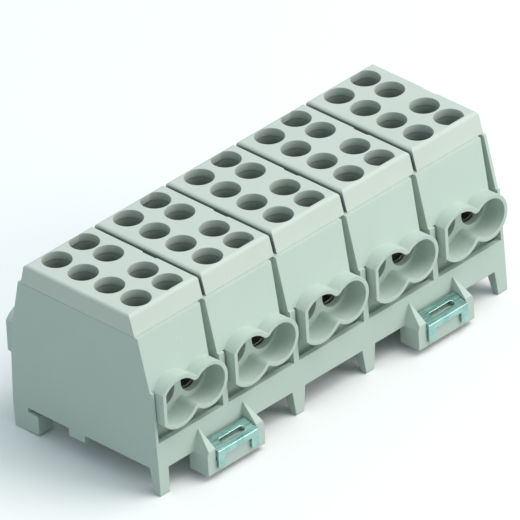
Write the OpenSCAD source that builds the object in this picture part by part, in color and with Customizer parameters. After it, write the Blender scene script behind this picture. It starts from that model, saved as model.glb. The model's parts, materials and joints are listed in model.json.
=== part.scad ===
// Five-pole main-line branch terminal block for 35 mm rail.
// Origin: middle of the rail seat. +X runs along the rail, +Z up, the
// release clips face -Y. All sizes in millimetres.

/* [Block] */
// Distance from one pole to the next
pole_pitch = 26; // [25.6:0.1:30]
// Height of the block above the rail seat
block_h = 44.3; // [42:0.1:50]
// How far the end walls stop short of a full pitch
end_trim = 0.5; // [0:0.1:0.8]
// Distance of the rail's middle behind the block's middle
rail_offset = 3.2; // [2.6:0.1:3.8]

/* [Conductors and screws] */
// Distance between the two conductor channels of a pole
row_pitch = 10.66; // [10.2:0.02:11]
// Distance of the inner screws of the left row from the middle
left_inner = 4.75; // [4.6:0.05:5]
// Distance of the outer screws of the left row from the middle
left_outer = 14.25; // [13.6:0.05:14.6]
// Distance of the inner screws of the right row from the middle
right_inner = 6.25; // [5:0.05:6.4]
// Distance of the outer screws of the right row from the middle
right_outer = 14.95; // [14.6:0.05:15.1]
// Diameter of the screw access holes
access_d = 8.1; // [7.9:0.05:8.3]
// Diameter of the conductor holes
conductor_d = 8.4; // [6:0.1:8.6]
// Height of the conductor axis above the rail seat
conductor_z = 18.7; // [18:0.1:20]

/* [Caps] */
// Height of a cap
cap_h = 6; // [5:0.1:7]
// Width of the gap between two caps
cap_gap = 1.1; // [0.6:0.1:1.6]
// Thickness of a cap's top
cap_top_t = 2.4; // [2:0.1:3]
// Thickness of a cap's side walls
cap_wall = 1.5; // [1.2:0.1:1.8]
// Half depth of a cap at its top
cap_top_y = 18.95; // [18.8:0.05:19.3]
// Half depth of a cap at its foot
cap_foot_y = 20.5; // [20.2:0.05:21]
// Rounding of a cap's top edges
cap_round = 1.2; // [0.6:0.1:1.6]

/* [Housing] */
// Half depth of the housing at the parting line
body_top_y = 21.5; // [21:0.1:22]
// Half depth of the slanted panels at their foot
panel_foot_y = 24.9; // [24.4:0.1:25.2]
// Height of the panels' foot
panel_foot_z = 23.3; // [22:0.1:24]
// Half depth of the skirt at the rail seat
skirt_y = 26.4; // [26:0.1:27]
// Height of the skirt's top edge
skirt_h = 8.1; // [7:0.1:8.6]
// Thickness of the partitions between the poles
partition_t = 1.9; // [1.5:0.1:2.2]
// Thickness of the outer walls
wall_t = 1.8; // [1.4:0.1:2.2]
// Length of the feet below the rail seat
foot_h = 7.5; // [7:0.1:9]

/* [Collars] */
// Half depth of the block across the collar rims
collar_rim_y = 28.4; // [27.8:0.1:29.4]
// Thickness of the collar walls
collar_wall = 1.15; // [0.9:0.05:1.3]
// Outer radius of the collar's left lobe
left_lobe_r = 7.6; // [7.2:0.1:8]
// Outer radius of the collar's right lobe
right_lobe_r = 6.6; // [6.4:0.05:6.8]
// Half depth of the recessed collar floor
collar_floor_y = 22; // [21.6:0.1:22.6]

/* [Rail clips] */
// Width of the rail
rail_w = 35; // [34.6:0.1:35.4]
// Thickness of the rail's lips
rail_t = 1; // [1:0.1:1.5]
// Width of a clip boss
boss_w = 20.8; // [20:0.1:22]
// How far a clip boss stands out from the skirt
boss_out = 4.9; // [4:0.1:6]
// Depth of a clip boss below the rail seat
boss_drop = 5.8; // [5.4:0.1:6.4]
// Thickness of a boss's side gussets
gusset_t = 3; // [2.4:0.1:3.4]
// Distance of a boss to the left of its partition
boss_shift = 2.25; // [1.5:0.05:3]
// Thickness of the clip's spring steel
clip_t = 0.8; // [0.6:0.05:1]
// Width of each clip leg
leg_w = 2.3; // [1.8:0.1:2.6]
// How far the clip blades reach under the rail
blade_grip = 2.2; // [1.5:0.1:3]

/* [Terminal bars] */
// Outer diameter of the clamp screws
screw_d = 7.7; // [6:0.05:7.8]
// Length of the clamp screws
screw_l = 10; // [8:0.1:11]
// Width across the flats of the hexagon socket
socket_af = 4; // [3:0.5:5]
// Half length of a terminal bar
bar_y = 19.3; // [19.2:0.05:19.5]
// Height of a terminal bar
bar_h = 16.4; // [15:0.1:17]

/* [Hidden] */
poles = 5;

$fn = 48;
e = 0.01;
plastic = [0.79, 0.83, 0.78];
zinc = [0.62, 0.74, 0.70];
brass = [0.80, 0.78, 0.70];
steel = [0.66, 0.66, 0.64];

// Clearances
bar_gap = 0.15;
thread_gap = 0.05;
clip_gap = 0.15;
tip_gap = 0.3;

// Along the rail
half_l = poles * pole_pitch / 2 - end_trim;
cap_w = pole_pitch - cap_gap;
row_shift = 0.2;
left_x = row_shift - row_pitch / 2;
right_x = row_shift + row_pitch / 2;
cell_half = (pole_pitch - partition_t) / 2;
end_wall_t = 1;
end_inside_x = pole_pitch / 2 - end_trim - end_wall_t;
collar_flat_x = -end_inside_x + 0.25;

// Heights
part_z = block_h - cap_h;
bar_z0 = conductor_z - conductor_d / 2 - 1.8;
bar_z1 = bar_z0 + bar_h;
chamber_z0 = bar_z0 - bar_gap;
core_z0 = chamber_z0 - wall_t;
strip_out = 0.65;

// Chamber outline: it holds the terminal bar and the cap's screw tubes
tube_bore_r = access_d / 2 + 0.1;
tube_r = tube_bore_r + 0.8;
chamber_x0 = left_x - tube_r - bar_gap;
chamber_x1 = right_x + tube_r + bar_gap;
chamber_y = right_outer + tube_r + bar_gap;
chamber_cut = 3.2;

// Right-hand groove beside each panel
groove_top_x = 10.3;
groove_foot_x = 9.1;
groove_y = chamber_y - 0.15;

// Rail and clip
rail_front_y = rail_offset - rail_w / 2;
rail_back_y = rail_offset + rail_w / 2;
boss_front_y = skirt_y + boss_out;
gusset_apex_z = 5.8;
gusset_foot_z = 1.4;
clip_w = boss_w - 2 * gusset_t - 2 * clip_gap;
blade_z1 = -rail_t - 0.3;
blade_z0 = blade_z1 - clip_t;
face_y1 = boss_front_y + clip_gap;
face_y2 = face_y1 + clip_t;
face_z1 = 0.7;
face_z0 = blade_z0 - 2.2;
tab_back_y = skirt_y + 1;
tab_back_z = 2.4;
blade_tip_y = rail_front_y + blade_grip;

function pole_x(p) = (p - (poles + 1) / 2) * pole_pitch;
function partition_x(k) = (k - poles / 2) * pole_pitch;

// Screw positions of one pole: row x and distance from the middle
left_row = [left_inner, left_outer];
right_row = [right_inner, right_outer];

// Where two circles' common tangent fillet has its centre: distance along
// the line between them, and height above it
function fillet_a(d, r1, r2, f) = (d * d + pow(r1 + f, 2) - pow(r2 + f, 2)) / (2 * d);
function fillet_h(d, r1, r2, f) = sqrt(pow(r1 + f, 2) - pow(fillet_a(d, r1, r2, f), 2));

// Points of a rounded corner: centre, radius, first and last angle
function arc(c, r, a0, a1, n = 6) =
    [for (i = [0:n]) [c[0] + r * cos(a0 + (a1 - a0) * i / n), c[1] + r * sin(a0 + (a1 - a0) * i / n)]];

// A profile drawn as [y, z] and run along X between two places
module along_x(x0, x1) {
    translate([x0, 0, 0]) rotate([90, 0, 90]) linear_extrude(x1 - x0) children();
}

// A profile drawn as [x, z] and run along Y between two places
module along_y(y0, y1) {
    translate([0, y1, 0]) rotate([90, 0, 0]) linear_extrude(y1 - y0) children();
}

// Two unlike circles joined by a filleted waist: the figure-eight of a collar
module figure_eight(r1, r2, f) {
    bite = 0.02;
    a = fillet_a(row_pitch, r1, r2, f);
    h = fillet_h(row_pitch, r1, r2, f);
    translate([left_x, conductor_z]) {
        circle(r1, $fn = 64);
        translate([row_pitch, 0]) circle(r2, $fn = 64);
        difference() {
            polygon([[0, 0], [a, h], [row_pitch, 0], [a, -h]]);
            for (s = [-1, 1]) translate([a, s * h]) circle(f + bite, $fn = 32);
        }
    }
}

// Everything that fronts both ways: once as drawn and once turned to the back
module both_sides() {
    children();
    mirror([0, 1, 0]) children();
}

// ---------------------------------------------------------------- housing

// Section of the closed upper part, between the partitions
module core_profile() {
    polygon([
        [-body_top_y, part_z], [-panel_foot_y, panel_foot_z], [-collar_floor_y, panel_foot_z],
        [-collar_floor_y, core_z0], [collar_floor_y, core_z0], [collar_floor_y, panel_foot_z],
        [panel_foot_y, panel_foot_z], [body_top_y, part_z]
    ]);
}

// Section of a partition: slanted above, stepped out beside the collars
module partition_profile() {
    polygon([
        [-body_top_y, part_z], [-panel_foot_y, panel_foot_z],
        [-panel_foot_y - strip_out, panel_foot_z], [-skirt_y, 0],
        [skirt_y, 0], [panel_foot_y + strip_out, panel_foot_z],
        [panel_foot_y, panel_foot_z], [body_top_y, part_z]
    ]);
}

// Front leg: flat in front, thinning towards its foot
module leg_profile() {
    polygon([
        [-skirt_y, e], [-skirt_y - 0.2, -foot_h + 0.5], [-skirt_y + 0.1, -foot_h],
        [-skirt_y + 1.8, -foot_h], [-skirt_y + 3.3, e]
    ]);
}

module front_leg(x0, x1, taper0, taper1) {
    intersection() {
        along_x(x0, x1) leg_profile();
        along_y(-skirt_y - 1, 0)
            polygon([[x0, e], [x0 + taper0, -foot_h], [x1 - taper1, -foot_h], [x1, e]]);
    }
}

// Back foot with the fixed hook that catches the rail's back lip
module back_foot(x0) {
    hook_gap = 0.25;
    along_x(x0, x0 + 2)
        polygon([
            [rail_back_y + hook_gap, e], [rail_back_y + hook_gap, -foot_h],
            [skirt_y - 0.3, -foot_h], [skirt_y, e]
        ]);
    along_x(x0, x0 + 5)
        polygon([
            [rail_back_y + hook_gap, e], [rail_back_y + hook_gap, -rail_t - 0.25],
            [rail_back_y - 3.3, -rail_t - 0.55], [rail_back_y - 3.3, -foot_h + 0.5],
            [rail_back_y + 1.5, -foot_h + 0.5], [rail_back_y + 1.5, e]
        ]);
}

// Short foot that keeps the block centred in the rail's channel
module middle_foot(x0) {
    along_x(x0, x0 + 2.2)
        polygon([
            [rail_offset - 2.9, e], [rail_offset - 2.9, -2.3], [rail_offset + 2.7, -2.3],
            [rail_offset + 2.9, -1.8], [rail_offset + 2.9, e]
        ]);
}

// Collar round the two conductor holes of a pole, flat on its left side
module collar_outside() {
    intersection() {
        along_y(-collar_rim_y, -collar_floor_y + 1) figure_eight(left_lobe_r, right_lobe_r, 0.6);
        translate([collar_flat_x, -collar_rim_y - 1, 0]) cube([pole_pitch, collar_rim_y, block_h]);
    }
}

module collar_inside() {
    intersection() {
        along_y(-collar_rim_y - 1, -collar_floor_y)
            figure_eight(left_lobe_r - collar_wall, right_lobe_r - collar_wall, 0.6 + collar_wall);
        translate([collar_flat_x + collar_wall, -collar_rim_y - 2, 0])
            cube([pole_pitch, collar_rim_y, block_h]);
    }
}

// Chamber that the terminal bar drops into, with its corners cut
module chamber_outline(gap) {
    x0 = chamber_x0 + gap;
    x1 = chamber_x1 - gap;
    y1 = chamber_y - gap;
    c = chamber_cut;
    polygon([
        [x0 + c, -y1], [x1 - c, -y1], [x1, -y1 + c], [x1, y1 - c],
        [x1 - c, y1], [x0 + c, y1], [x0, y1 - c], [x0, -y1 + c]
    ]);
}

// Groove between a panel's right edge and the next partition
module groove(wall_x) {
    along_y(-skirt_y - 1, -groove_y)
        polygon([
            [groove_top_x, part_z + e], [groove_foot_x, panel_foot_z - 1],
            [wall_x, panel_foot_z - 1], [wall_x, part_z + e]
        ]);
}

module cell_cuts(wall_x) {
    translate([0, 0, chamber_z0]) linear_extrude(block_h) chamber_outline(0);
    for (x = [left_x, right_x]) translate([x, 0, conductor_z]) rotate([90, 0, 0])
        cylinder(d = conductor_d, h = 2 * collar_floor_y + 2 * e, center = true);
    both_sides() collar_inside();
    both_sides() groove(wall_x);
}

// Boss that guides a rail clip: front wall between two slanted gussets
module clip_boss() {
    inner = boss_w / 2 - gusset_t;
    for (s = [-1, 1]) intersection() {
        along_x(-boss_w / 2, boss_w / 2)
            polygon([
                [-skirt_y + wall_t, gusset_apex_z], [-skirt_y, gusset_apex_z],
                [-boss_front_y, gusset_foot_z], [-boss_front_y, -boss_drop],
                [-skirt_y + wall_t, -boss_drop]
            ]);
        along_y(-boss_front_y - 1, 0)
            polygon([
                [s * inner, -boss_drop - 1], [s * boss_w / 2, -boss_drop - 1], [s * boss_w / 2, 0],
                [s * (boss_w / 2 - 2), gusset_apex_z], [s * (boss_w / 2 - 2.4), gusset_apex_z],
                [s * inner, gusset_foot_z]
            ]);
    }
    difference() {
        along_x(-inner - e, inner + e)
            polygon([
                [-skirt_y + wall_t, 0.4], [-skirt_y, 0.4], [-boss_front_y + 1.6, 0.1],
                [-boss_front_y, 0.1], [-boss_front_y, -boss_drop], [-skirt_y + wall_t, -boss_drop]
            ]);
        for (s = [-1, 1]) blade_slot(s);
    }
}

// Slot that a clip blade slides in
module blade_slot(s) {
    x_mid = s * (clip_w / 2 - leg_w / 2);
    translate([x_mid - leg_w / 2 - clip_gap, -boss_front_y - 1, blade_z0 - clip_gap])
        cube([leg_w + 2 * clip_gap, boss_front_y, clip_t + 2 * clip_gap]);
}

module base_housing() {
    color(plastic) difference() {
        union() {
            along_x(-half_l, half_l) core_profile();
            for (k = [1:poles - 1])
                translate([partition_x(k), 0, 0]) along_x(-partition_t / 2, partition_t / 2) partition_profile();
            for (m = [0, 1]) mirror([m, 0, 0]) along_x(half_l - end_wall_t, half_l) partition_profile();
            both_sides() skirt();
            for (p = [1:poles]) translate([pole_x(p), 0, 0]) both_sides() collar_outside();
            for (k = [1, poles - 1]) translate([partition_x(k) - boss_shift, 0, 0]) clip_boss();
            feet();
        }
        for (p = [1:poles]) translate([pole_x(p), 0, 0])
            cell_cuts(p == poles ? end_inside_x : cell_half);
    }
}

// Skirt wall with the floor that joins it to the core
module skirt() {
    along_x(-half_l, half_l)
        polygon([
            [-skirt_y, 0], [-skirt_y + 0.25, skirt_h], [-skirt_y + wall_t, skirt_h],
            [-skirt_y + wall_t, skirt_h - 1.6], [-collar_floor_y, skirt_h - 1.6],
            [-collar_floor_y, core_z0 + e], [-collar_floor_y + wall_t, core_z0 + e],
            [-collar_floor_y + wall_t, skirt_h - 3.2], [-skirt_y + wall_t, skirt_h - 3.2],
            [-skirt_y + wall_t, 0]
        ]);
}

module feet() {
    front_leg(-half_l, -half_l + 3.6, 0, 0.2);
    front_leg(half_l - 4.3, half_l, 0.9, 0);
    for (k = [2:poles - 2]) translate([partition_x(k), 0, 0]) front_leg(-2.5, 2.3, 0.9, 1.1);
    for (x = [-half_l, half_l - 5]) back_foot(x);
    for (k = [2:poles - 2]) back_foot(partition_x(k) - 1);
    for (x = [-half_l, half_l - 2.2]) middle_foot(x);
    for (k = [2:poles - 2]) middle_foot(partition_x(k) - 1.1);
}

// ------------------------------------------------------------------- caps

// Section of a cap across the block, rounded on top
module cap_side_profile() {
    slope = atan2(cap_foot_y - cap_top_y, cap_h);
    r = cap_round;
    c = [cap_top_y - r * tan((90 - slope) / 2), block_h - r];
    polygon(concat(
        [[cap_foot_y, part_z]], arc(c, r, slope, 90),
        arc([-c[0], c[1]], r, 90, 180 - slope), [[-cap_foot_y, part_z]]
    ));
}

// Section of a cap along the block, rounded on top
module cap_end_profile() {
    r = cap_round * 0.75;
    w = cap_w / 2;
    polygon(concat(
        [[w, part_z - e]], arc([w - r, block_h - r], r, 0, 90),
        arc([-w + r, block_h - r], r, 90, 180), [[-w, part_z - e]]
    ));
}

module at_screws(x, row, side = [-1, 1]) {
    for (s = side, y = row) translate([x, s * y, 0]) children();
}

// Access holes of one row, flattened in front where they would meet the edge
module access_holes(x, row, rim) {
    back_y = cap_top_y - 0.35;
    intersection() {
        at_screws(x, row) translate([0, 0, bar_z1]) cylinder(d = access_d, h = block_h);
        translate([-cap_w / 2, rim - cap_top_y, 0]) cube([cap_w, cap_top_y - rim + back_y, 2 * block_h]);
    }
}

// Tubes under the cap that lead the key down to the screws
module cap_tubes() {
    translate([0, 0, bar_z1 + tip_gap]) intersection() {
        union() {
            at_screws(left_x, left_row) cylinder(r = tube_r, h = block_h - bar_z1 - tip_gap - 1);
            at_screws(right_x, right_row) cylinder(r = tube_r, h = block_h - bar_z1 - tip_gap - 1);
        }
        linear_extrude(block_h) chamber_outline(bar_gap);
    }
}

module cap() {
    notch_y = [-5.3, 0.8];
    color(plastic) difference() {
        union() {
            difference() {
                intersection() {
                    along_x(-cap_w / 2, cap_w / 2) cap_side_profile();
                    along_y(-cap_foot_y, cap_foot_y) cap_end_profile();
                }
                translate([-cap_w / 2 + cap_wall, -cap_top_y + cap_wall, part_z - 1])
                    cube([cap_w - 2 * cap_wall, 2 * (cap_top_y - cap_wall), cap_h + 1 - cap_top_t]);
            }
            intersection() {
                cap_tubes();
                translate([0, 0, cap_h - block_h]) linear_extrude(2 * block_h - cap_h - 1)
                    square([cap_w, 2 * (cap_top_y - 0.4)], center = true);
            }
        }
        access_holes(left_x, left_row, 0.35);
        access_holes(right_x, right_row, 1.1);
        at_screws(left_x, left_row) translate([0, 0, bar_z1])
            cylinder(r = tube_bore_r, h = block_h - cap_top_t - bar_z1);
        at_screws(right_x, right_row) translate([0, 0, bar_z1])
            cylinder(r = tube_bore_r, h = block_h - cap_top_t - bar_z1);
        translate([cap_w / 2, 0, 0]) linear_extrude(2 * block_h)
            polygon([[-0.9, notch_y[0] + 0.5], [-0.9, notch_y[1] - 0.9], [e, notch_y[1]], [e, notch_y[0]]]);
    }
}

// ---------------------------------------------------------- terminal bars

module bar_blank() {
    translate([0, 0, bar_z0]) linear_extrude(bar_h) intersection() {
        chamber_outline(bar_gap);
        square([pole_pitch, 2 * bar_y], center = true);
    }
}

module terminal_bar() {
    color(brass) difference() {
        bar_blank();
        for (x = [left_x, right_x]) translate([x, 0, conductor_z]) rotate([90, 0, 0])
            cylinder(d = conductor_d - 0.2, h = 2 * bar_y + 2, center = true);
        at_screws(left_x, left_row) translate([0, 0, conductor_z])
            cylinder(d = screw_d + 2 * thread_gap, h = bar_h);
        at_screws(right_x, right_row) translate([0, 0, conductor_z])
            cylinder(d = screw_d + 2 * thread_gap, h = bar_h);
    }
}

// Hexagon socket set screw with a chamfered tip, standing on its tip
module clamp_screw() {
    r = screw_d / 2;
    difference() {
        rotate_extrude() polygon([
            [0, 0], [r - 1.2, 0], [r, 1.2], [r, screw_l - 0.5], [r - 0.5, screw_l], [0, screw_l]
        ]);
        translate([0, 0, screw_l - 4])
            cylinder(r = socket_af / 2 / cos(30), h = 5, $fn = 6);
    }
}

// The two screws that hold one conductor, drawn back clear of its channel
module screw_pair(x, row, side) {
    color(steel) at_screws(x, row, [side])
        translate([0, 0, conductor_z + conductor_d / 2 + tip_gap]) clamp_screw();
}

// -------------------------------------------------------------- rail clip

// One folded strip: sloping finger tab, face with two legs, two blades
module rail_clip() {
    side = clip_w / 2;
    tab_drop = tab_back_z - face_z1;
    color(zinc) union() {
        difference() {
            along_x(-side, side) polygon([
                [-tab_back_y, tab_back_z], [-face_y2, face_z1],
                [-face_y2, face_z1 - clip_t], [-tab_back_y, tab_back_z - clip_t]
            ]);
            finger_slot(tab_drop);
        }
        difference() {
            translate([-side, -face_y2, face_z0]) cube([2 * side, clip_t, face_z1 - face_z0 - e]);
            translate([-side + leg_w, -face_y2 - 1, face_z0 - 1])
                cube([2 * (side - leg_w), clip_t + 2, face_z1 - face_z0 - clip_t]);
        }
        for (s = [-1, 1]) translate([s * (side - leg_w / 2), 0, 0]) clip_blade();
    }
}

module finger_slot(drop) {
    reach = face_y2 - tab_back_y;
    translate([0, -tab_back_y - reach / 2, tab_back_z - drop / 2]) {
        cube([7.4, 1.5, 6], center = true);
        for (s = [-1, 1]) translate([s * 3.7, 0, 0]) cylinder(d = 1.5, h = 6, center = true);
    }
}

// Blade that runs back under the rail's front lip, with a lead-in tip
module clip_blade() {
    along_x(-leg_w / 2, leg_w / 2) polygon([
        [-face_y2 + e, blade_z0], [-face_y2 + e, blade_z1], [blade_tip_y - clip_t, blade_z1],
        [blade_tip_y, blade_z0]
    ]);
}

// --------------------------------------------------------------- assembly

// The block's middle lies in front of the rail's middle
module on_rail() {
    translate([0, -rail_offset, 0]) children();
}

on_rail() base_housing();
on_rail() translate([partition_x(1) - boss_shift, 0, 0]) rail_clip();  // rail_clip_left
on_rail() translate([partition_x(poles - 1) - boss_shift, 0, 0]) rail_clip();  // rail_clip_right
for (p = [1:poles]) on_rail() translate([pole_x(p), 0, 0]) {
    cap();
    terminal_bar();
    screw_pair(left_x, left_row, -1);
    screw_pair(right_x, right_row, -1);
    screw_pair(left_x, left_row, 1);
    screw_pair(right_x, right_row, 1);
}
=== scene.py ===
"""A five-pole main-line branch terminal block on a pale studio floor.

The plastics, plated steel and tinned brass of its pieces are made here.
Everything is in metres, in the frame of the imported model.
"""

import json
import math

import bpy
from mathutils import Matrix, Vector


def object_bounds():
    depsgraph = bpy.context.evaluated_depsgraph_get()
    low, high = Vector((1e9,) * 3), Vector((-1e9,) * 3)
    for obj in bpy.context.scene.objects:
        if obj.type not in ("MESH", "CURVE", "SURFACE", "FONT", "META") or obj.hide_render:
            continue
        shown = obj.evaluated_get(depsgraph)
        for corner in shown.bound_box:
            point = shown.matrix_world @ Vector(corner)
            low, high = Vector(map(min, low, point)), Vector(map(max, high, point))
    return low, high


MM = 0.001

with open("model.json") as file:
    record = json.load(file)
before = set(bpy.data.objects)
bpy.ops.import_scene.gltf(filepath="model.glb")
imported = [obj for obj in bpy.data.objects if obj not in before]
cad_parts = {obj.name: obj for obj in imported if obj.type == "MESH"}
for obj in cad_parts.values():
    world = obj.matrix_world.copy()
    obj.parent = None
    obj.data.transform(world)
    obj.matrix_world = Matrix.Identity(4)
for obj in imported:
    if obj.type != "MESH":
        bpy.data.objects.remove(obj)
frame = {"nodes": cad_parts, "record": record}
cad_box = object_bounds()


# ------------------------------------------------------------------ camera

LOOK_AT = Vector((0.1, -1.825, 20.9)) * MM
AZIMUTH, ELEVATION, ROLL = -43.91, 32.10, -3.35
DISTANCE = 3546.4 * MM
SLIDE_RIGHT, SLIDE_UP = 1.69 * MM, 0.62 * MM


def stand_camera():
    """A long lens, well back, so that the block's edges stay nearly parallel."""
    az, el, roll = (math.radians(a) for a in (AZIMUTH, ELEVATION, ROLL))
    back = Vector((math.sin(az) * math.cos(el), -math.cos(az) * math.cos(el), math.sin(el)))
    level = Vector((math.cos(az), math.sin(az), 0))
    upright = back.cross(level)
    right = math.cos(roll) * level + math.sin(roll) * upright
    up = -math.sin(roll) * level + math.cos(roll) * upright
    lens = bpy.data.cameras.new("studio_camera")
    lens.sensor_width = 36
    lens.lens = 949.5
    lens.clip_start, lens.clip_end = 0.1, 20
    camera = bpy.data.objects.new("studio_camera", lens)
    camera.matrix_world = Matrix.Translation(
        LOOK_AT + back * DISTANCE + right * SLIDE_RIGHT + up * SLIDE_UP
    ) @ Matrix((right, up, back)).transposed().to_4x4()
    bpy.context.scene.collection.objects.link(camera)
    bpy.context.scene.camera = camera


# ----------------------------------------------------------- node building


class Wiring:
    """Short hand for placing nodes in one tree and joining them up."""

    def __init__(self, tree):
        self.tree = tree

    def place(self, kind, **settings):
        node = self.tree.nodes.new(kind)
        for name, value in settings.items():
            setattr(node, name, value)
        return node

    def join(self, source, target):
        self.tree.links.new(source, target)

    def feed(self, node, **values):
        """Sets or joins inputs by name, with underscores for spaces."""
        for name, value in values.items():
            socket = node.inputs[name.replace("_", " ")]
            if isinstance(value, bpy.types.NodeSocket):
                self.join(value, socket)
            else:
                socket.default_value = value
        return node

    def sum(self, operation, a, b, clamp=False):
        node = self.place("ShaderNodeMath", operation=operation, use_clamp=clamp)
        for socket, value in zip(node.inputs, (a, b)):
            if isinstance(value, bpy.types.NodeSocket):
                self.join(value, socket)
            else:
                socket.default_value = value
        return node.outputs[0]

    def spread(self, value, low, high, to_low=0.0, to_high=1.0):
        node = self.place("ShaderNodeMapRange", clamp=True)
        for socket, number in zip(node.inputs, (value, low, high, to_low, to_high)):
            if isinstance(number, bpy.types.NodeSocket):
                self.join(number, socket)
            else:
                socket.default_value = number
        return node.outputs["Result"]

    def blend_colour(self, share, a, b, way="MIX"):
        node = self.place("ShaderNodeMix", data_type="RGBA", blend_type=way, clamp_factor=True)
        sockets = [s for s in node.inputs if s.enabled]
        for socket, value in zip(sockets, (share, a, b)):
            if isinstance(value, bpy.types.NodeSocket):
                self.join(value, socket)
            else:
                socket.default_value = value
        return next(s for s in node.outputs if s.enabled)


def new_group(name, inputs, outputs):
    """An empty shader group with named sockets; returns its tree, wiring, input and output nodes."""
    tree = bpy.data.node_groups.new(name, "ShaderNodeTree")
    for label, kind, value in inputs:
        socket = tree.interface.new_socket(label, in_out="INPUT", socket_type=kind)
        if value is not None:
            socket.default_value = value
    for label, kind in outputs:
        tree.interface.new_socket(label, in_out="OUTPUT", socket_type=kind)
    wiring = Wiring(tree)
    return tree, wiring, wiring.place("NodeGroupInput"), wiring.place("NodeGroupOutput")


FLOAT, COLOUR, VECTOR = "NodeSocketFloat", "NodeSocketColor", "NodeSocketVector"


def make_moulding_grain():
    """The fine spark-eroded grain of a mould, with slow swirls where the melt flowed."""
    tree, w, given, out = new_group(
        "moulding_grain",
        [("Grain Size", FLOAT, 0.0004), ("Swirl Size", FLOAT, 0.02)],
        [("Grain", FLOAT), ("Swirl", FLOAT), ("Specks", FLOAT)],
    )
    place = w.place("ShaderNodeTexCoord").outputs["Object"]
    grain = w.place("ShaderNodeTexNoise", noise_dimensions="3D")
    w.feed(grain, Vector=place, Scale=w.sum("DIVIDE", 1.0, given.outputs["Grain Size"]), Detail=3.0, Roughness=0.6)
    swirl = w.place("ShaderNodeTexNoise", noise_dimensions="3D")
    w.feed(swirl, Vector=place, Scale=w.sum("DIVIDE", 1.0, given.outputs["Swirl Size"]), Detail=2.0, Distortion=0.6)
    specks = w.place("ShaderNodeTexVoronoi", feature="F1")
    w.feed(specks, Vector=place, Scale=210.0, Randomness=1.0)
    w.join(grain.outputs["Fac"], out.inputs["Grain"])
    w.join(swirl.outputs["Fac"], out.inputs["Swirl"])
    w.join(w.spread(specks.outputs["Distance"], 0.03, 0.05, 1.0, 0.0), out.inputs["Specks"])
    return tree


def make_soft_edges():
    """Rounds the normal over a small radius and says where an edge or a corner is near."""
    tree, w, given, out = new_group(
        "soft_edges",
        [("Radius", FLOAT, 0.0003)],
        [("Normal", VECTOR), ("Edge", FLOAT)],
    )
    bevel = w.place("ShaderNodeBevel", samples=6)
    w.feed(bevel, Radius=given.outputs["Radius"])
    true_normal = w.place("ShaderNodeNewGeometry").outputs["True Normal"]
    facing = w.place("ShaderNodeVectorMath", operation="DOT_PRODUCT")
    w.join(bevel.outputs["Normal"], facing.inputs[0])
    w.join(true_normal, facing.inputs[1])
    w.join(bevel.outputs["Normal"], out.inputs["Normal"])
    w.join(w.spread(facing.outputs["Value"], 0.995, 0.80, 0.0, 1.0), out.inputs["Edge"])
    return tree


def make_settled_dust():
    """A thin film of dust on what faces up, broken by a slow noise."""
    tree, w, given, out = new_group(
        "settled_dust",
        [("Amount", FLOAT, 0.2), ("Patch Size", FLOAT, 0.012)],
        [("Dust", FLOAT)],
    )
    geometry = w.place("ShaderNodeNewGeometry")
    parts = w.place("ShaderNodeSeparateXYZ")
    w.join(geometry.outputs["Normal"], parts.inputs[0])
    up = w.spread(parts.outputs["Z"], 0.5, 1.0)
    patch = w.place("ShaderNodeTexNoise", noise_dimensions="3D")
    w.feed(
        patch, Vector=w.place("ShaderNodeTexCoord").outputs["Object"],
        Scale=w.sum("DIVIDE", 1.0, given.outputs["Patch Size"]), Detail=4.0, Roughness=0.65,
    )
    broken = w.spread(patch.outputs["Fac"], 0.35, 0.75)
    w.join(w.sum("MULTIPLY", w.sum("MULTIPLY", up, broken), given.outputs["Amount"]), out.inputs["Dust"])
    return tree


def make_recess_painted_shade():
    """Says how deep a point lies in a hole or a corner, as the mask for painted shade there."""
    tree, w, given, out = new_group(
        "recess_painted_shade",
        [("Reach", FLOAT, 0.006), ("Open", FLOAT, 0.75), ("Shut", FLOAT, 0.25)],
        [("Painted Shade", FLOAT)],
    )
    around = w.place("ShaderNodeAmbientOcclusion", samples=8)
    w.feed(around, Distance=given.outputs["Reach"])
    w.join(w.spread(around.outputs["AO"], given.outputs["Open"], given.outputs["Shut"]), out.inputs["Painted Shade"])
    return tree


def make_drawn_lines():
    """Fine lines left by rolling or turning, stretched along one axis."""
    tree, w, given, out = new_group(
        "drawn_lines",
        [("Stretch", VECTOR, (40.0, 1500.0, 1500.0)), ("Blotch Size", FLOAT, 0.004)],
        [("Lines", FLOAT), ("Blotch", FLOAT)],
    )
    place = w.place("ShaderNodeTexCoord").outputs["Object"]
    mapping = w.place("ShaderNodeVectorMath", operation="MULTIPLY")
    w.join(place, mapping.inputs[0])
    w.join(given.outputs["Stretch"], mapping.inputs[1])
    lines = w.place("ShaderNodeTexNoise", noise_dimensions="3D")
    w.feed(lines, Vector=mapping.outputs["Vector"], Scale=1.0, Detail=3.0, Roughness=0.55)
    blotch = w.place("ShaderNodeTexNoise", noise_dimensions="3D")
    w.feed(blotch, Vector=place, Scale=w.sum("DIVIDE", 1.0, given.outputs["Blotch Size"]), Detail=3.0)
    w.join(lines.outputs["Fac"], out.inputs["Lines"])
    w.join(blotch.outputs["Fac"], out.inputs["Blotch"])
    return tree


MOULDING_GRAIN = make_moulding_grain()
SOFT_EDGES = make_soft_edges()
SETTLED_DUST = make_settled_dust()
# Painted shade: an occlusion mask that darkens holes and corners.
RECESS_PAINTED_SHADE = make_recess_painted_shade()
DRAWN_LINES = make_drawn_lines()


# --------------------------------------------------------------- materials


def new_material(name):
    material = bpy.data.materials.new(name)
    material.use_nodes = True
    material.node_tree.nodes.clear()
    w = Wiring(material.node_tree)
    surface = w.place("ShaderNodeBsdfPrincipled")
    output = w.place("ShaderNodeOutputMaterial")
    w.join(surface.outputs["BSDF"], output.inputs["Surface"])
    return material, w, surface


def use_group(w, tree, **values):
    node = w.place("ShaderNodeGroup", node_tree=tree)
    return w.feed(node, **values)


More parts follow.
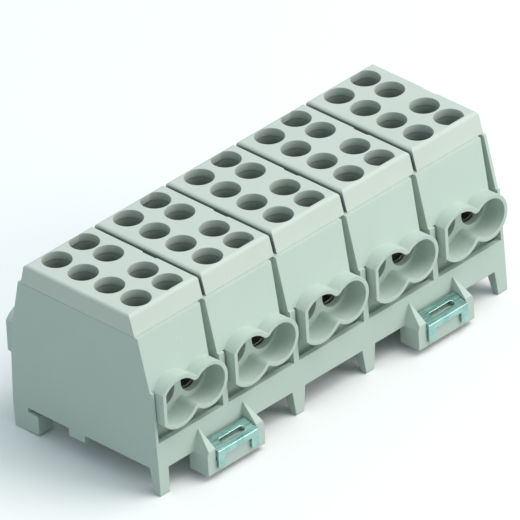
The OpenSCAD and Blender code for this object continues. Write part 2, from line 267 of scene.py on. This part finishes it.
def moulded_plastic(name, colour, pale, deep, radius, shade_amount, shut):
    """Light grey-green polyamide with a fine matt grain, a painted highlight on its edges and painted shade deep in
    its holes and corners.
    """
    material, w, surface = new_material(name)
    grain = use_group(w, MOULDING_GRAIN, Grain_Size=0.00045, Swirl_Size=0.018)
    edges = use_group(w, SOFT_EDGES, Radius=radius)
    dust = use_group(w, SETTLED_DUST, Amount=0.10, Patch_Size=0.010)
    base = w.blend_colour(w.spread(grain.outputs["Swirl"], 0.3, 0.7), deep, colour)
    # Painted highlight: edges and corners are tinted paler.
    base = w.blend_colour(w.sum("MULTIPLY", edges.outputs["Edge"], 0.35), base, pale)
    base = w.blend_colour(dust.outputs["Dust"], base, (0.70, 0.68, 0.62, 1))
    # Painted shade: deep in holes and corners the colour runs towards a dark green-grey.
    recess = use_group(w, RECESS_PAINTED_SHADE, Reach=0.009, Open=0.55, Shut=shut)
    base = w.blend_colour(w.sum("MULTIPLY", recess.outputs["Painted Shade"], shade_amount), base, (0.10, 0.125, 0.115, 1))
    base = w.blend_colour(w.sum("MULTIPLY", grain.outputs["Specks"], 0.30), base, (0.36, 0.33, 0.27, 1))
    rough = w.spread(grain.outputs["Swirl"], 0.2, 0.8, 0.44, 0.54)
    rough = w.sum("ADD", rough, w.sum("MULTIPLY", dust.outputs["Dust"], 0.8), clamp=True)
    bump = w.place("ShaderNodeBump")
    w.feed(bump, Strength=0.30, Distance=0.00004, Height=grain.outputs["Grain"], Normal=edges.outputs["Normal"])
    w.feed(surface, Base_Color=base, Roughness=rough, Normal=bump.outputs["Normal"])
    surface.inputs["Specular IOR Level"].default_value = 0.38
    return material


def plated_steel(name, colour, deep, worn_and_highlight, rough_low, rough_high, radius, stretch):
    """Zinc-plated sheet or bar: soft lines, cloudy passivation, edges lightened partly as rubbed wear and partly as a
    painted highlight.
    """
    material, w, surface = new_material(name)
    lines = use_group(w, DRAWN_LINES, Stretch=stretch, Blotch_Size=0.0035)
    edges = use_group(w, SOFT_EDGES, Radius=radius)
    base = w.blend_colour(w.spread(lines.outputs["Blotch"], 0.35, 0.65), deep, colour)
    # Edges lightened: partly rubbed wear, partly a painted highlight.
    base = w.blend_colour(w.sum("MULTIPLY", edges.outputs["Edge"], 0.6), base, worn_and_highlight)
    rough = w.spread(lines.outputs["Lines"], 0.3, 0.7, rough_low, rough_high)
    bump = w.place("ShaderNodeBump")
    w.feed(bump, Strength=0.25, Distance=0.00002, Height=lines.outputs["Lines"], Normal=edges.outputs["Normal"])
    w.feed(surface, Base_Color=base, Roughness=rough, Normal=bump.outputs["Normal"])
    surface.inputs["Metallic"].default_value = 1.0
    return material


# In each, the second colour is the painted edge highlight and the second-last number the strength of the painted
# shade in holes and corners.
HOUSING_PLASTIC = moulded_plastic(
    "housing_plastic", (0.552, 0.628, 0.554, 1), (0.640, 0.705, 0.640, 1), (0.530, 0.608, 0.536, 1),
    0.00030, 0.08, 0.05
)
CAP_PLASTIC = moulded_plastic(
    "cap_plastic", (0.618, 0.650, 0.580, 1), (0.685, 0.712, 0.648, 1), (0.594, 0.630, 0.562, 1),
    0.00025, 0.85, 0.20
)
CLIP_ZINC = plated_steel(
    "clip_zinc", (0.42, 0.66, 0.61, 1), (0.30, 0.52, 0.48, 1), (0.80, 0.88, 0.86, 1), 0.20, 0.36, 0.00030, (120.0, 2200.0, 2200.0)
)
TERMINAL_METAL = plated_steel(
    "terminal_metal", (0.74, 0.71, 0.66, 1), (0.60, 0.56, 0.50, 1), (0.84, 0.80, 0.72, 1), 0.26, 0.42, 0.00020, (1800.0, 90.0, 1800.0)
)
SCREW_STEEL = plated_steel(
    "screw_steel", (0.115, 0.120, 0.118, 1), (0.060, 0.064, 0.062, 1), (0.34, 0.34, 0.33, 1), 0.34, 0.52, 0.00015, (1500.0, 1500.0, 200.0)
)


def dress(node, material):
    """Gives a CAD node its finish."""
    piece = frame["nodes"][node]
    if not piece.data.materials:
        piece.data.materials.append(material)
    for slot in piece.material_slots:
        slot.material = material


FINISH = {
    "housing_plastic": HOUSING_PLASTIC,
    "cap_plastic": CAP_PLASTIC,
    "clip_zinc": CLIP_ZINC,
    "terminal_metal": TERMINAL_METAL,
    "screw_steel": SCREW_STEEL,
}


def dress_all():
    for entry in frame["record"]["subparts"]:
        dress(entry["node"], FINISH[entry["material_slot"]])


# ------------------------------------------------------- floor and lights


def lay_floor():
    """A plain pale floor under the feet; the camera sees it nearly white."""
    low = cad_box[0][2]
    mesh = bpy.data.meshes.new("studio_floor")
    far = 4.0
    mesh.from_pydata([(-far, -far, low), (far, -far, low), (far, far, low), (-far, far, low)], [], [(0, 1, 2, 3)])
    floor = bpy.data.objects.new("studio_floor", mesh)
    bpy.context.scene.collection.objects.link(floor)
    material, w, surface = new_material("studio_floor")
    path = w.place("ShaderNodeLightPath")
    seen = w.sum("MAXIMUM", path.outputs["Is Camera Ray"], path.outputs["Is Glossy Ray"])
    seen = w.sum("MAXIMUM", seen, path.outputs["Is Transmission Ray"])
    tone = w.blend_colour(seen, (0.50, 0.50, 0.50, 1), (1.0, 0.97, 0.96, 1))
    w.feed(surface, Base_Color=tone)
    surface.inputs["Roughness"].default_value = 1.0
    surface.inputs["Specular IOR Level"].default_value = 0.0
    mesh.materials.append(material)


def soft_box(name, towards, distance, side, power, tint):
    """A square soft box that faces the block."""
    lamp = bpy.data.lights.new(name, "AREA")
    lamp.shape = "SQUARE"
    lamp.size = side
    lamp.energy = power
    lamp.color = tint
    box = bpy.data.objects.new(name, lamp)
    aim = Vector(towards).normalized()
    box.matrix_world = Matrix.Translation(LOOK_AT + aim * distance) @ aim.to_track_quat("Z", "Y").to_matrix().to_4x4()
    bpy.context.scene.collection.objects.link(box)


def light_studio():
    soft_box("key_box", (0.30, -0.35, 0.90), 1.6, 1.1, 14.5, (1.0, 0.985, 0.96))
    soft_box("front_box", (0.50, -0.80, 0.30), 1.6, 0.9, 7.6, (1.0, 0.985, 0.96))
    world = bpy.data.worlds.new("studio")
    world.use_nodes = True
    world.node_tree.nodes.clear()
    w = Wiring(world.node_tree)
    path = w.place("ShaderNodeLightPath")
    seen = w.sum("MAXIMUM", path.outputs["Is Camera Ray"], path.outputs["Is Transmission Ray"])
    tone = w.blend_colour(seen, (0.480, 0.600, 0.640, 1), (1.0, 1.0, 1.0, 1))
    background = w.place("ShaderNodeBackground")
    w.feed(background, Color=tone, Strength=1.0)
    output = w.place("ShaderNodeOutputWorld")
    w.join(background.outputs[0], output.inputs["Surface"])
    bpy.context.scene.world = world


def plain_view():
    bpy.context.scene.view_settings.view_transform = "Standard"


# ----------------------------------------------------------------- setting

stand_camera()
dress_all()
lay_floor()
light_studio()
plain_view()
